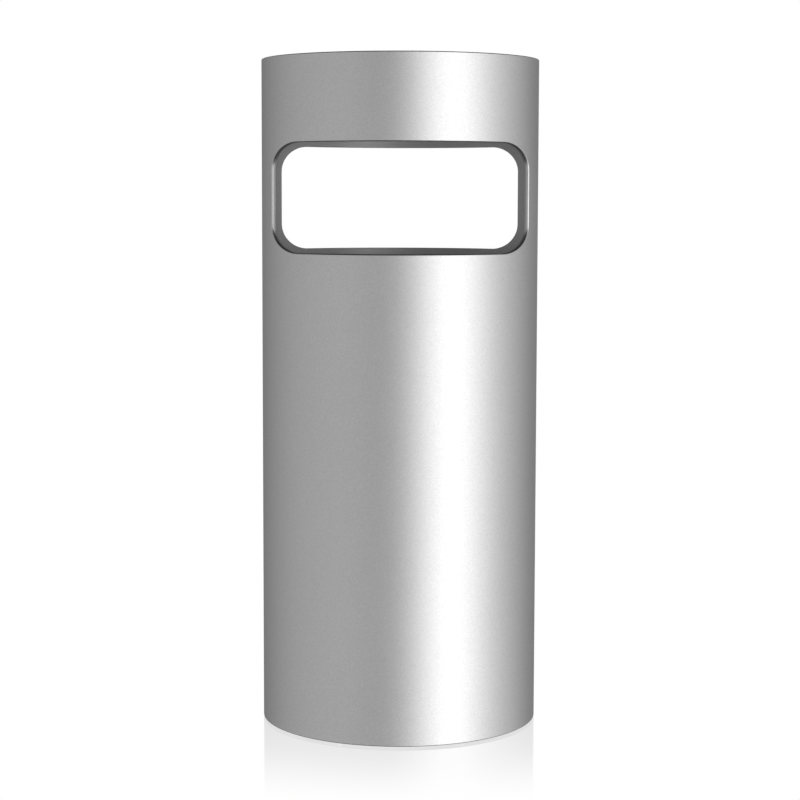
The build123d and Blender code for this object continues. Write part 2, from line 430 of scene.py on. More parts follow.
def dust_effect():
    """Dust that settles on what faces up, in soft patches."""
    writer, given, result = new_effect(
        "settled_dust",
        [("Patch Scale", "NodeSocketFloat", 30.0), ("Speck Scale", "NodeSocketFloat", 700.0)],
        [("Mask", "NodeSocketFloat")],
    )
    place = writer.place()
    up = writer.split(writer.node("ShaderNodeNewGeometry").outputs["Normal"])[2]
    facing = writer.spread(up, 0.35, 0.95, 0.0, 1.0)
    patch = writer.spread(noise(writer, place, given.outputs["Patch Scale"], 4.0, 0.6), 0.35, 0.70, 0.0, 1.0)
    speck = writer.spread(noise(writer, place, given.outputs["Speck Scale"], 2.0, 0.6), 0.40, 0.75, 0.3, 1.0)
    writer.put(result.inputs["Mask"], writer.times(facing, writer.times(patch, speck)))
    return writer.tree


def grain_effect():
    """The fine sparked texture of a mould, with softer unevenness under it."""
    writer, given, result = new_effect(
        "mould_grain",
        [("Grain Scale", "NodeSocketFloat", 1400.0), ("Flow Scale", "NodeSocketFloat", 60.0)],
        [("Tone", "NodeSocketFloat"), ("Height", "NodeSocketFloat")],
    )
    place = writer.place()
    fine = noise(writer, place, given.outputs["Grain Scale"], 2.0, 0.6)
    flow = noise(writer, place, given.outputs["Flow Scale"], 3.0, 0.55)
    writer.put(result.inputs["Tone"], writer.weigh(fine, 0.4, flow))
    writer.put(result.inputs["Height"], writer.weigh(fine, 0.7, flow))
    return writer.tree


class Finish(Tree):
    """A material being written round one Principled shader."""

    def __init__(self, name):
        self.material = bpy.data.materials.new(name)
        self.material.use_nodes = True
        super().__init__(self.material.node_tree)
        self.shader = self.tree.nodes["Principled BSDF"]

    def effect(self, tree, **values):
        made = self.node("ShaderNodeGroup", node_tree=tree)
        for name, value in values.items():
            self.put(made.inputs[name.replace("_", " ").title()], value)
        return made.outputs

    def blend(self, share, first, second):
        """A colour between two colours."""
        made = self.node("ShaderNodeMix", data_type="RGBA")
        self.put(made.inputs[0], share)
        self.put(made.inputs[6], first)
        self.put(made.inputs[7], second)
        return made.outputs[2]

    def over(self, mask, share, under, cover):
        """A colour with another laid over it where a mask says so, up to a share."""
        return self.blend(self.times(mask, share), under, cover)

    def by_grain(self, grain, low, high):
        """A value that goes from low in the grain's dark spots to high in its light ones."""
        return self.spread(grain["Tone"], 0.3, 0.7, low, high)

    def set(self, name, value):
        self.put(self.shader.inputs[name], value)

    def bump(self, height, strength, distance):
        made = self.fed("ShaderNodeBump", {"Height": height, "Strength": strength, "Distance": distance})
        self.set("Normal", made.outputs[0])


# Greys of the silver lacquer: its darkest and lightest flake, where it is rubbed, the painted light on the
# window's cut faces, the painted shade on faces that point up or down and inside the tube, and the dust on
# it.
SILVER_LOW = 0.635
SILVER_HIGH = 0.745
RUBBED_SILVER = 0.84
PAINTED_CUT_LIGHT = 0.90
PAINTED_EDGE_SHADE = 0.14
PAINTED_INNER_SHADE = 0.36
LACQUER_DUST = 0.52

# How far each of those takes over from the plain lacquer.
RUBBED_SHARE = 0.20
CUT_LIGHT_SHARE = 0.5
EDGE_SHADE_SHARE = 0.85
INNER_SHADE_SHARE = 0.55
DUST_SHARE = 0.25

# How rough the lacquer is between its flakes, and what the cut, the inside and dust add.
LACQUER_ROUGHNESS = (0.32, 0.40)
CUT_ROUGHNESS = 0.38
INNER_ROUGHNESS = 0.10
DUST_ROUGHNESS = 0.12


def grey(level, warmth=0.0):
    return (level * (1 + warmth), level, level * (1 - warmth), 1.0)


def silver_lacquer(effects):
    """Silver lacquer, with painted shade on faces that point up or down and inside the tube, where it is also
    rougher and less metallic, and a painted light on the window's cut faces."""
    finish = Finish("silver_lacquer")
    flake = finish.effect(effects["flake"])
    worn = finish.effect(effects["wear"], edge_radius=0.9 * MM)["Mask"]
    dusty = finish.effect(effects["dust"])["Mask"]
    cut = finish.node("ShaderNodeAttribute", attribute_name="cut_face").outputs["Fac"]
    slope = finish.math("ABSOLUTE", finish.split(finish.node("ShaderNodeTexCoord").outputs["Normal"])[2])
    across = finish.vector("LENGTH", finish.vector("MULTIPLY", finish.place(), (1.0, 1.0, 0.0)))
    inside = finish.spread(across, INNER_RADIUS + 1.0 * MM, INNER_RADIUS + 2.0 * MM, 1.0, 0.0)
    sparkle = finish.spread(flake["Tone"], 0.15, 0.85, 0.0, 1.0)
    paint = finish.blend(sparkle, grey(SILVER_LOW), grey(SILVER_HIGH))
    paint = finish.over(worn, RUBBED_SHARE, paint, grey(RUBBED_SILVER))
    # Painted light: the window's cut faces are blended towards a light grey, in place of the light they
    # catch.
    paint = finish.over(cut, CUT_LIGHT_SHARE, paint, grey(PAINTED_CUT_LIGHT))
    # Painted shade: faces that point up or down, such as the rounded window edges, the rim top and the ledge,
    # are blended towards a dark grey.
    paint = finish.blend(finish.spread(slope, 0.30, 0.80, 0.0, EDGE_SHADE_SHARE), paint, grey(PAINTED_EDGE_SHADE))
    # Painted shade: the inner face of the tube is blended towards a darker grey.
    paint = finish.over(inside, INNER_SHADE_SHARE, paint, grey(PAINTED_INNER_SHADE))
    finish.set("Base Color", finish.over(dusty, DUST_SHARE, paint, grey(LACQUER_DUST, 0.03)))
    finish.set("Metallic", finish.math("MULTIPLY_ADD", inside, -0.15, 1.0))
    rough = finish.spread(flake["Gloss"], 0.25, 0.75, *LACQUER_ROUGHNESS)
    for mask, more in ((inside, INNER_ROUGHNESS), (cut, CUT_ROUGHNESS), (dusty, DUST_ROUGHNESS)):
        rough = finish.math("MULTIPLY_ADD", mask, more, rough)
    finish.set("Roughness", rough)
    finish.bump(flake["Height"], 0.35, 0.02 * MM)
    return finish.material


def dark_moulding(effects, name, low, high, roughness, warmth):
    """Moulded plastic in a dark grey, with grain, rubbed edges and dust."""
    finish = Finish(name)
    grain = finish.effect(effects["grain"])
    worn = finish.effect(effects["wear"], edge_radius=0.6 * MM)["Mask"]
    dusty = finish.effect(effects["dust"])["Mask"]
    plain = finish.blend(finish.by_grain(grain, 0.0, 1.0), grey(low, warmth), grey(high, warmth))
    rubbed = finish.over(worn, 0.5, plain, grey(high * 2.2))
    finish.set("Base Color", finish.over(dusty, 0.22, rubbed, grey(0.34, 0.05)))
    finish.set("Roughness", finish.by_grain(grain, roughness - 0.06, roughness + 0.08))
    finish.set("Specular IOR Level", 0.5)
    finish.bump(grain["Height"], 0.4, 0.03 * MM)
    return finish.material


def rubber(effects, name, level):
    """Matt rubber, a little bloomed on its faces."""
    finish = Finish(name)
    grain = finish.effect(effects["grain"], grain_scale=900.0, flow_scale=45.0)
    worn = finish.effect(effects["wear"], edge_radius=0.7 * MM)["Mask"]
    dusty = finish.effect(effects["dust"], patch_scale=38.0)["Mask"]
    plain = finish.blend(finish.by_grain(grain, 0.0, 1.0), grey(level * 0.7), grey(level * 1.5))
    rubbed = finish.over(worn, 0.35, plain, grey(level * 3.0))
    finish.set("Base Color", finish.over(dusty, 0.18, rubbed, grey(0.28, 0.05)))
    finish.set("Roughness", finish.by_grain(grain, 0.66, 0.84))
    finish.bump(grain["Height"], 0.5, 0.05 * MM)
    return finish.material


def zinc_steel(effects):
    """Zinc-plated steel, brighter where a driver or a hand has rubbed it."""
    finish = Finish("zinc_steel")
    grain = finish.effect(effects["grain"], grain_scale=1800.0, flow_scale=220.0)
    worn = finish.effect(effects["wear"], edge_radius=0.3 * MM)["Mask"]
    plain = finish.blend(finish.by_grain(grain, 0.0, 1.0), grey(0.50, 0.02), grey(0.68, -0.01))
    finish.set("Base Color", finish.over(worn, 0.6, plain, grey(0.82)))
    finish.set("Metallic", 1.0)
    finish.set("Roughness", finish.by_grain(grain, 0.24, 0.40))
    finish.bump(grain["Height"], 0.25, 0.01 * MM)
    return finish.material


def make_finishes():
    effects = {
        "flake": flake_effect(),
        "wear": wear_effect(),
        "dust": dust_effect(),
        "grain": grain_effect(),
    }
    return {
        "shell_lacquer": silver_lacquer(effects),
        "floor_plastic": dark_moulding(effects, "floor_plastic", 0.055, 0.085, 0.52, 0.0),
        "tray_plastic": dark_moulding(effects, "tray_plastic", 0.085, 0.125, 0.40, -0.01),
        "foot_rubber": rubber(effects, "foot_rubber", 0.022),
        "mat_rubber": rubber(effects, "mat_rubber", 0.028),
        "screw_steel": zinc_steel(effects),
    }


# ======================================================================
# Mesh helpers
# ======================================================================

def placed(name, data):
    """A new object in the scene."""
    made = bpy.data.objects.new(name, data)
    bpy.context.scene.collection.objects.link(made)
    return made


def piece_from(name, points, faces):
    mesh = bpy.data.meshes.new(name)
    mesh.from_pydata([tuple(p) for p in points], [], faces)
    mesh.update()
    return placed(name, mesh)


def rounded(corners, steps=5):
    """The points of a profile whose corners, given as (across, up, radius), are turned into arcs.
    A corner of radius nothing stays sharp. The first and last points stay as they are."""
    flat = [Vector((c[0], c[1])) for c in corners]
    points = [tuple(flat[0])]
    for before, here, after, corner in zip(flat, flat[1:], flat[2:], corners[1:-1]):
        radius = corner[2]
        back, on = (before - here).normalized(), (after - here).normalized()
        if radius <= 0:
            points.append(tuple(here))
            continue
        half = back.angle(on) / 2
        reach = radius / math.tan(half)
        centre = here + (back + on).normalized() * (radius / math.sin(half))
        first, last = here + back * reach - centre, here + on * reach - centre
        for k in range(steps + 1):
            points.append(tuple(centre + radius * first.slerp(last, k / steps)))
    points.append(tuple(flat[-1]))
    return points


def lathe(name, profile, segments=160, closed=False):
    """Turns a profile of (radius, height) points about the Z axis. A point on the axis becomes a pole."""
    points, rings = [], []
    for radius, height in profile:
        if radius < 1e-7:
            rings.append([len(points)])
            points.append((0.0, 0.0, height))
            continue
        rings.append([len(points) + k for k in range(segments)])
        for k in range(segments):
            turn = math.tau * k / segments
            points.append((radius * math.cos(turn), radius * math.sin(turn), height))
    faces = []
    pairs = list(zip(rings, rings[1:])) + ([(rings[-1], rings[0])] if closed else [])
    for low, high in pairs:
        for k in range(segments):
            after = (k + 1) % segments
            if len(low) == 1:
                faces.append((low[0], high[after], high[k]))
            elif len(high) == 1:
                faces.append((low[k], low[after], high[0]))
            else:
                faces.append((low[k], low[after], high[after], high[k]))
    return piece_from(name, points, faces)


def block(name, size, centre, edge, steps=2):
    """A box with rounded edges, as a rib."""
    half = Vector(size) / 2
    corners = [
        Vector(centre) + Vector((x * half.x, y * half.y, z * half.z))
        for x in (-1, 1) for y in (-1, 1) for z in (-1, 1)
    ]
    faces = [(0, 1, 3, 2), (4, 6, 7, 5), (0, 4, 5, 1), (2, 3, 7, 6), (0, 2, 6, 4), (1, 5, 7, 3)]
    return bevelled(piece_from(name, corners, faces), edge, steps)


def bevelled(piece, width, steps=2, angle=50.0):
    """Rounds the edges of a mesh, for good."""
    made = piece.modifiers.new("round_edges", "BEVEL")
    made.width = width
    made.segments = steps
    made.limit_method = "ANGLE"
    made.angle_limit = math.radians(angle)
    made.use_clamp_overlap = True
    return settled(piece)


def carve(piece, tool, operation):
    """Adds or cuts away one closed mesh with another, for good."""
    made = piece.modifiers.new(operation.lower(), "BOOLEAN")
    made.operation = operation
    made.object = tool
    made.solver = "EXACT"
    settled(piece)
    bpy.data.objects.remove(tool)
    return piece


def plate(name, outlines, thickness, edge, place):
    """A flat plate with rounded edges and holes, cut from closed outlines and then put in its place."""
    curve = bpy.data.curves.new(name, "CURVE")
    curve.dimensions = "2D"
    curve.fill_mode = "BOTH"
    curve.extrude = thickness / 2 - edge
    curve.bevel_depth = edge
    curve.bevel_resolution = 3
    curve.offset = -edge
    for outline in outlines:
        line = curve.splines.new("POLY")
        line.points.add(len(outline) - 1)
        for point, (x, y) in zip(line.points, outline):
            point.co = (x, y, 0.0, 1.0)
        line.use_cyclic_u = True
    flat = placed(name + "_curve", curve)
    bpy.context.view_layer.update()
    seen = flat.evaluated_get(bpy.context.evaluated_depsgraph_get())
    mesh = bpy.data.meshes.new_from_object(seen)
    bpy.data.objects.remove(flat)
    mesh.transform(place)
    return placed(name, mesh)


def rounded_rectangle(width, low, high, lower_radius, upper_radius, steps=8):
    """The outline of a rectangle with its own radius for the lower and the upper corners."""
    half = width / 2
    points = []
    for x, y, radius, start in (
        (half, low, lower_radius, -90), (half, high, upper_radius, 0),
        (-half, high, upper_radius, 90), (-half, low, lower_radius, 180),
    ):
        centre_x = x - math.copysign(radius, x)
        centre_y = y + radius if y == low else y - radius
        for k in range(steps + 1):
            turn = math.radians(start + 90 * k / steps)
            points.append((centre_x + radius * math.cos(turn), centre_y + radius * math.sin(turn)))
    return points


def joined(name, pieces):
    """One object from several, with doubles within each shell already merged."""
    points, faces = [], []
    for piece in pieces:
        first = len(points)
        points += [tuple(piece.matrix_world @ v.co) for v in piece.data.vertices]
        faces += [tuple(first + k for k in face.vertices) for face in piece.data.polygons]
        bpy.data.objects.remove(piece)
    return piece_from(name, points, faces)


def outward(piece):
    """Merges doubles and turns every face of each closed shell outwards."""
    work = bmesh.new()
    work.from_mesh(piece.data)
    bmesh.ops.remove_doubles(work, verts=work.verts, dist=MERGE_DISTANCE)
    bmesh.ops.recalc_face_normals(work, faces=work.faces)
    work.to_mesh(piece.data)
    work.free()
    return piece


def smoothed(piece, angle=32.0):
    """Smooth shading that keeps flats flat and real corners crisp."""
    for face in piece.data.polygons:
        face.use_smooth = True
    piece.data.set_sharp_from_angle(angle=math.radians(angle))
    made = piece.modifiers.new("weighted_normals", "WEIGHTED_NORMAL")
    made.keep_sharp = True
    made.weight = 80
    return piece


def dress(piece, finish):
    piece.data.materials.clear()
    piece.data.materials.append(finish)
    return piece


# ======================================================================
# The tube
# ======================================================================

SIDE_ROWS = 6
BOTTOM_ROWS = 14
TOP_ROWS = 6
CORNER_STEPS = 14
STRAIGHT_STEPS = 60
PILLAR_STEPS = 18
EDGE_STEPS = 5


def window_upper_outline():
    """The upper half of a window's outline, left to right, as (angle, height, outward normal). The corner is
    an arc as seen from straight in front, carried to the tube's face."""
    half_height = (WINDOW_TOP - WINDOW_BOTTOM) / 2
    centre_x = TUBE_RADIUS * math.sin(WINDOW_HALF_ANGLE) - WINDOW_CORNER
    centre_z = WINDOW_MIDDLE + half_height - WINDOW_CORNER
    corner = []
    for k in range(CORNER_STEPS + 1):
        turn = math.pi / 2 * k / CORNER_STEPS
        angle = math.asin((centre_x + WINDOW_CORNER * math.cos(turn)) / TUBE_RADIUS)
        height = centre_z + WINDOW_CORNER * math.sin(turn)
        normal = Vector((math.cos(turn), math.sin(turn) / math.cos(angle))).normalized()
        corner.append((angle, height, normal.x, normal.y))
    straight_angle = corner[-1][0]
    right = list(reversed(corner))
    left = [(-angle, height, -nx, nz) for angle, height, nx, nz in corner]
    straight = [
        (straight_angle * (2 * k / STRAIGHT_STEPS - 1), WINDOW_MIDDLE + half_height, 0.0, 1.0)
        for k in range(1, STRAIGHT_STEPS)
    ]
    return left + straight + right


class Sheet:
    """The tube's wall laid flat: X is arc length on the outer face, Y the depth into the wall, Z height."""

    def __init__(self):
        self.points, self.normals, self.faces, self.cut = [], [], [], []

    def add(self, angle, depth, height, along, inward, up, cut=0.0):
        """A point, with its normal in the same flat frame, and whether it lies on a cut face."""
        self.points.append((TUBE_RADIUS * angle, depth, height))
        self.normals.append(Vector((along, inward, up)).normalized())
        self.cut.append(cut)
        return len(self.points) - 1

    def strip(self, first, second):
        """Quads between two rows of points, where both rows have points."""
        for a, b, c, d in zip(first, first[1:], second[1:], second):
            if None not in (a, b, c, d):
                self.faces.append((a, b, c, d))


def wall_columns(depth, growth, outline):
    """Where a face of the wall has its columns of points: for each, its angle and the lower and upper heights
    of the window, and whether it runs on past the side of the window."""
    radius = TUBE_RADIUS - depth
    columns = []
    for half in range(2):
        turn = math.pi * half
        edge = outline[-1][0] + growth / radius
        side = outline[-1][1]
        for k in range(PILLAR_STEPS):
            angle = -math.pi / 2 + (math.pi / 2 - edge) * k / PILLAR_STEPS
            columns.append((turn + angle, 2 * WINDOW_MIDDLE - side, side, True))
        for number, (angle, height, nx, nz) in enumerate(outline):
            top = height + growth * nz
            solid = number in (0, len(outline) - 1)
            columns.append((turn + angle + growth * nx / radius, 2 * WINDOW_MIDDLE - top, top, solid))
        for k in range(1, PILLAR_STEPS):
            angle = edge + (math.pi / 2 - edge) * k / PILLAR_STEPS
            columns.append((turn + angle, 2 * WINDOW_MIDDLE - side, side, True))
    first = columns[0]
    columns.append((first[0] + math.tau, first[1], first[2], first[3]))
    return columns


def wall_face(sheet, columns, depth, low, high):
    """One face of the wall. Gives its points by column and row, with None inside the windows."""
    inward = -1.0 if depth == 0 else 1.0
    rows = BOTTOM_ROWS + SIDE_ROWS + TOP_ROWS
    grid = []
    for angle, below, above, solid in columns:
        heights = [low + (below - low) * k / BOTTOM_ROWS for k in range(BOTTOM_ROWS)]
        heights += [below + (above - below) * k / SIDE_ROWS for k in range(SIDE_ROWS)]
        heights += [above + (high - above) * k / TOP_ROWS for k in range(TOP_ROWS + 1)]
        column = []
        for row in range(rows + 1):
            hollow = BOTTOM_ROWS < row < BOTTOM_ROWS + SIDE_ROWS and not solid
            column.append(None if hollow else sheet.add(angle, depth, heights[row], 0.0, inward, 0.0))
        grid.append(column)
    for left, right, here, after in zip(grid, grid[1:], columns, columns[1:]):
        beside_window = not (here[3] and after[3])
        for row in range(rows):
            if beside_window and BOTTOM_ROWS <= row < BOTTOM_ROWS + SIDE_ROWS:
                continue
            sheet.faces.append((left[row], right[row], right[row + 1], left[row + 1]))
    return grid


def section_normals(path):
    """Unit normals, to the left of the way along, for a smooth path of (depth, height) points."""
    normals = []
    for k in range(len(path)):
        before, after = Vector(path[max(k - 1, 0)]), Vector(path[min(k + 1, len(path) - 1)])
        way = (after - before).normalized()
        normals.append(Vector((-way.y, way.x)))
    return normals


def wall_end(sheet, outer_row, inner_row, outer_columns, inner_columns, path, side):
    """Closes the wall over its rim or its foot, along a path of (depth, height) points from the outer face to
    the inner one. The path's own ends are the faces' last rows. Its side is which way the normals point."""
    normals = [normal * side for normal in section_normals(path)]
    rows = [outer_row]
    for k in range(1, len(path) - 1):
        share = k / (len(path) - 1)
        depth, height = path[k]
        row = []
        for outer, inner in zip(outer_columns, inner_columns):
            angle = outer[0] + (inner[0] - outer[0]) * share
            row.append(sheet.add(angle, depth, height, 0.0, normals[k].x, normals[k].y))
        rows.append(row)
    rows.append(inner_row)
    for below, above in zip(rows, rows[1:]):
        sheet.strip(below, above)


def lining_edge(sheet, half, spot, edge, inside):
    """The points over one rounded edge of the lining at a spot of the window's outline, on the way from the
    outer face to the inner one."""
    angle, height, nx, nz = spot
    steps = range(1, EDGE_STEPS + 1)
    points = []
    for k in (reversed(steps) if inside else steps):
        turn = math.pi / 2 * k / EDGE_STEPS
        growth = edge * (1 - math.sin(turn))
        sunk = edge * (1 - math.cos(turn))
        depth = TUBE_WALL - sunk if inside else sunk
        at = angle + growth * nx / (TUBE_RADIUS - depth)
        lean = -math.sin(turn)
        inward = math.cos(turn) if inside else -math.cos(turn)
        points.append(sheet.add(
            half * math.pi + at, depth, height + growth * nz, lean * nx, inward, lean * nz,
            1.0 if k == EDGE_STEPS else 0.0,
        ))
    return points


def window_lining(sheet, outline, half, outer_grid, inner_grid):
    """The cut face of one window, with its rounded edges, between the outer and the inner face."""
    first = half * (2 * PILLAR_STEPS + len(outline) - 1) + PILLAR_STEPS
    last = first + len(outline) - 1
    low_row, high_row = BOTTOM_ROWS, BOTTOM_ROWS + SIDE_ROWS
    side_angle, side_height = outline[-1][:2]
    side_rows = [
        (low_row + k, 2 * WINDOW_MIDDLE - side_height + 2 * (side_height - WINDOW_MIDDLE) * k / SIDE_ROWS)
        for k in range(1, SIDE_ROWS)
    ]
    upper = [(spot, first + k, high_row) for k, spot in enumerate(outline)]
    loop = [
        ((angle, 2 * WINDOW_MIDDLE - height, nx, -nz), column, low_row)
        for (angle, height, nx, nz), column, row in upper
    ]
    loop += [((side_angle, height, 1.0, 0.0), last, row) for row, height in side_rows]
    loop += reversed(upper)
    loop += [((-side_angle, height, -1.0, 0.0), first, row) for row, height in reversed(side_rows)]
    rows = []
    for spot, column, row in loop:
        across = [outer_grid[column][row]]
        across += lining_edge(sheet, half, spot, WINDOW_OUTER_EDGE, False)
        across += lining_edge(sheet, half, spot, WINDOW_INNER_EDGE, True)
        across.append(inner_grid[column][row])
        rows.append(across)
    for here, after in zip(rows, rows[1:] + rows[:1]):
        sheet.strip(here, after)


def make_tube(finish):
    """The moulded tube, laid out flat with its windows, ledge and rounded edges, then rolled up."""
    sheet = Sheet()
    outline = window_upper_outline()
    outer_columns = wall_columns(0.0, WINDOW_OUTER_EDGE, outline)
    inner_columns = wall_columns(TUBE_WALL, WINDOW_INNER_EDGE, outline)
    top = TUBE_TOP - TUBE_EDGE
    outer = wall_face(sheet, outer_columns, 0.0, TUBE_BOTTOM + TUBE_EDGE, top)
    inner = wall_face(sheet, inner_columns, TUBE_WALL, LEDGE_TOP + LEDGE_EDGE, top)
    rim = rounded([
        (0.0, top, 0), (0.0, TUBE_TOP, TUBE_EDGE), (TUBE_WALL, TUBE_TOP, TUBE_EDGE), (TUBE_WALL, top, 0),
    ], EDGE_STEPS)[1:-1]
    wall_end(sheet, [c[-1] for c in outer], [c[-1] for c in inner], outer_columns, inner_columns, rim, 1)
    ledge_depth = TUBE_RADIUS - LEDGE_RADIUS
    foot = rounded([
        (0.0, TUBE_BOTTOM + 2 * TUBE_EDGE, 0),
        (0.0, TUBE_BOTTOM, TUBE_EDGE),
        (TUBE_WALL, TUBE_BOTTOM, TUBE_EDGE),
        (TUBE_WALL, LEDGE_BOTTOM, LEDGE_EDGE),
        (ledge_depth, LEDGE_BOTTOM, LEDGE_EDGE),
        (ledge_depth, LEDGE_TOP, LEDGE_EDGE),
        (TUBE_WALL, LEDGE_TOP, LEDGE_EDGE),
        (TUBE_WALL, LEDGE_TOP + 2 * LEDGE_EDGE, 0),
    ], EDGE_STEPS)[1:-1]
    wall_end(sheet, [c[0] for c in outer], [c[0] for c in inner], outer_columns, inner_columns, foot, -1)
    for half in range(2):
        window_lining(sheet, outline, half, outer, inner)
    tube = piece_from("tube_wall", sheet.points, sheet.faces)
    flat_normals = tube.data.attributes.new("flat_normal", "FLOAT_VECTOR", "POINT")
    flat_normals.data.foreach_set("vector", np.array(sheet.normals, np.float32).ravel())
    cut_face = tube.data.attributes.new("cut_face", "FLOAT", "POINT")
    cut_face.data.foreach_set("value", np.array(sheet.cut, np.float32))
    grow(tube, roll_tree(), tube_radius=TUBE_RADIUS, merge_distance=MERGE_DISTANCE, material=finish)
    outward(tube)
    true_normals(tube)
    return tube


def true_normals(tube):
    """Gives each point of the rolled tube its exact normal, turned from the flat sheet's frame."""
    mesh = tube.data
    count = len(mesh.vertices)
    flat = np.zeros(count * 3, np.float32)
    mesh.attributes["flat_normal"].data.foreach_get("vector", flat)
    places = np.zeros(count * 3, np.float32)
    mesh.vertices.foreach_get("co", places)
    flat, places = flat.reshape(-1, 3), places.reshape(-1, 3)
    angle = np.arctan2(places[:, 0], -places[:, 1])
    sine, cosine = np.sin(angle), np.cos(angle)
    x = flat[:, 0] * cosine - flat[:, 1] * sine
    y = flat[:, 0] * sine + flat[:, 1] * cosine
    for face in mesh.polygons:
        face.use_smooth = True
    mesh.normals_split_custom_set_from_vertices(np.stack([x, y, flat[:, 2]], -1).tolist())
    mesh.attributes.remove(mesh.attributes["flat_normal"])


# ======================================================================
# The floor, its screws and the feet
# ======================================================================

def make_floor(finish, ring):
    """Deck and skirt with ribs, a hub and screw bosses under the deck, and a ring that seats the tray."""
    edge = FLOOR_EDGE
    inside = FLOOR_RADIUS - FLOOR_SKIRT
    dish = lathe("deck", rounded([
        (0.0, DECK_BOTTOM, 0),
        (inside, DECK_BOTTOM, edge),
        (inside, LEDGE_TOP, edge),
        (FLOOR_RADIUS, LEDGE_TOP, edge),
        (FLOOR_RADIUS, DECK_TOP, edge),
        (0.0, DECK_TOP, 0),
    ], 3))
    seat = TRAY_BASE_RADIUS + 1.0 * MM
    seat_ring = lathe("seat_ring", rounded([
        (seat, DECK_TOP - ROOT_DEPTH, 0),
        (seat + SEAT_RING_WIDTH, DECK_TOP - ROOT_DEPTH, 0),
        (seat + SEAT_RING_WIDTH, DECK_TOP + SEAT_RING_HEIGHT, edge),
        (seat, DECK_TOP + SEAT_RING_HEIGHT, edge),
        (seat, DECK_TOP - ROOT_DEPTH, 0),
    ], 3)[:-1], closed=True)
    rib_low = DECK_BOTTOM - FLOOR_RIB_DEPTH
    hub = lathe("hub", rounded([
        (FLOOR_HUB - FLOOR_RIB_WIDTH, DECK_BOTTOM + ROOT_DEPTH, 0),
        (FLOOR_HUB - FLOOR_RIB_WIDTH, rib_low, edge),
        (FLOOR_HUB, rib_low, edge),
        (FLOOR_HUB, DECK_BOTTOM + ROOT_DEPTH, 0),
        (FLOOR_HUB - FLOOR_RIB_WIDTH, DECK_BOTTOM + ROOT_DEPTH, 0),
    ], 3)[:-1], 64, closed=True)
    length = inside + ROOT_DEPTH - (FLOOR_HUB - FLOOR_RIB_WIDTH / 2)
    rib = block(
        "floor_rib",
        (length, FLOOR_RIB_WIDTH, FLOOR_RIB_DEPTH + ROOT_DEPTH),
        (FLOOR_HUB - FLOOR_RIB_WIDTH / 2 + length / 2, 0.0, rib_low + (FLOOR_RIB_DEPTH + ROOT_DEPTH) / 2),
        edge,
    )
    ribs = grow(rib, ring, count=FLOOR_RIBS, first_angle=0.0, material=finish)
    boss = lathe("boss", rounded([
        (0.0, LEDGE_TOP, 0), (BOSS_RADIUS, LEDGE_TOP, edge), (BOSS_RADIUS, DECK_BOTTOM + ROOT_DEPTH, 0),
        (0.0, DECK_BOTTOM + ROOT_DEPTH, 0),
    ], 3), 32)
    boss.data.transform(Matrix.Translation((FIXING_RADIUS, 0.0, 0.0)))
    bosses = grow(boss, ring, count=SCREW_COUNT, first_angle=0.0, material=finish)
    floor = outward(joined("floor_moulding", [dish, seat_ring, hub, ribs, bosses]))
    return dress(smoothed(floor), finish)


def make_screws(finish, ring):
    """Six pan-head screws, heads down, with a cross recess and a coarse thread."""
    head_low = LEDGE_BOTTOM - SCREW_HEAD_HEIGHT
    cut = RECESS_SPAN / 2
    corners = [
        (SCREW_HEAD_RADIUS, LEDGE_BOTTOM, 0),
        (SCREW_HEAD_RADIUS, LEDGE_BOTTOM - 0.9 * MM, 0.5 * MM),
        (SCREW_HEAD_RADIUS * 0.72, head_low, 1.2 * MM),
        (0.0, head_low, 0),
    ]
    shank = [(0.0, LEDGE_BOTTOM + SCREW_LENGTH)]
    turns = int((SCREW_LENGTH - 2 * SCREW_RADIUS) / THREAD_PITCH)
    for k in range(turns, -1, -1):
        base = LEDGE_BOTTOM + 1.0 * MM + k * THREAD_PITCH
        taper = min(1.0, (LEDGE_BOTTOM + SCREW_LENGTH - base) / (3 * THREAD_PITCH))
        root, crest = (SCREW_RADIUS - THREAD_DEPTH) * taper, SCREW_RADIUS * taper
        shank += [(root, base + 0.5 * THREAD_PITCH), (crest, base + 0.25 * THREAD_PITCH), (root, base)]
    shank.append((SCREW_RADIUS - THREAD_DEPTH, LEDGE_BOTTOM))
    screw = outward(lathe("screw", shank + rounded(corners, 4), 32))
    recess = None
    for turn in (0.0, math.pi / 2):
        bar = block(
            "recess", (2 * cut, RECESS_WIDTH, RECESS_DEPTH * 2), (0.0, 0.0, head_low), 0.15 * MM, 1,
        )
        bar.data.transform(Matrix.Rotation(turn, 4, "Z"))
        recess = bar if recess is None else carve(recess, bar, "UNION")
    screw = carve(screw, recess, "DIFFERENCE")
    screw.data.transform(Matrix.Translation((FIXING_RADIUS, 0.0, 0.0)))
    screws = grow(screw, ring, count=SCREW_COUNT, first_angle=0.0, material=finish)
    screws.name = "floor_screws"
    return dress(smoothed(outward(screws)), finish)


